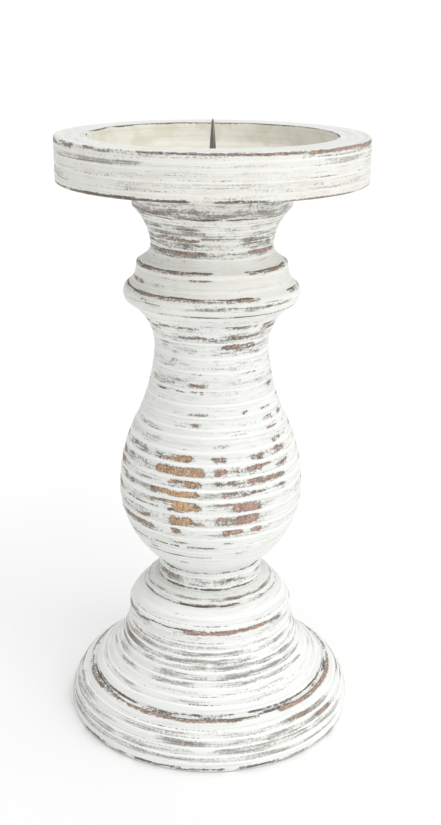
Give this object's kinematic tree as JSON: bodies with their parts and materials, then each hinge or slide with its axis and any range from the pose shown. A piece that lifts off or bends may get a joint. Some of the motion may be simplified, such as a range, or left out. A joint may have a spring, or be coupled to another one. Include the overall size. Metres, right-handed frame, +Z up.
{
  "type": "pillar candlestick",
  "caption": "Turned wooden candlestick with a recessed candle cup on a vase-shaped column, a steel pricket and a beaded round foot.",
  "frame": {"origin": "centre of the face it stands on", "axes": "+Z up along the turning axis; the object is the same all round"},
  "size_m": [0.1238, 0.1238, 0.256],
  "materials": {
    "painted_wood": "matte distressed paint",
    "dowel_wood": "raw",
    "spike_steel": "polished",
    "screw_steel": "zinc plated",
    "felt": "matte"
  },
  "bodies": {
    "root": {"felt_pad": "felt", "foot": "painted_wood", "plinth": "painted_wood", "vase": "painted_wood", "capital": "painted_wood", "candle_cup": "painted_wood", "pricket_spike": "spike_steel", "joint_dowels": "dowel_wood", "foot_screws": "screw_steel"}
  },
  "joints": []
}
